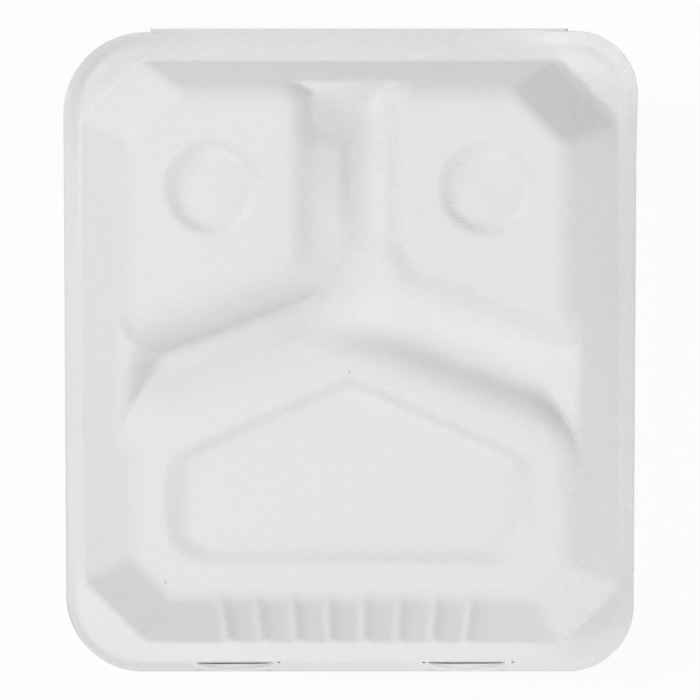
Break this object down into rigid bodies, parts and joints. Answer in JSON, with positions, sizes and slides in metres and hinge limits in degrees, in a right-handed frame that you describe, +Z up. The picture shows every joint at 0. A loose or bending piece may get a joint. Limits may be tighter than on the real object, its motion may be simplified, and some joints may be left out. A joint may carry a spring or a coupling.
{
  "type": "bagasse clamshell container",
  "caption": "Hinged food box of moulded sugar-cane pulp with three compartments in the base, a plain lid and a tab lock at the front.",
  "frame": {"origin": "bottom centre of the closed box as it lies upside down on its lid", "axes": "+Z up, from the lid to the feet of the base; +Y towards the hinge; +X from side to side"},
  "size_m": [0.2046, 0.229, 0.076],
  "materials": {
    "pulp_base": "matte white pulp with a wire-mesh imprint",
    "pulp_lid": "matte white pulp"
  },
  "bodies": {
    "lid": {"lid": "pulp_lid"},
    "base": {"base_tray": "pulp_base"}
  },
  "joints": [
    {"name": "lid_hinge", "type": "hinge", "parent": "lid", "child": "base", "pos_m": [0, 0.11355, 0.039], "axis": [-1, 0, 0], "range_deg": [0, 180]}
  ]
}
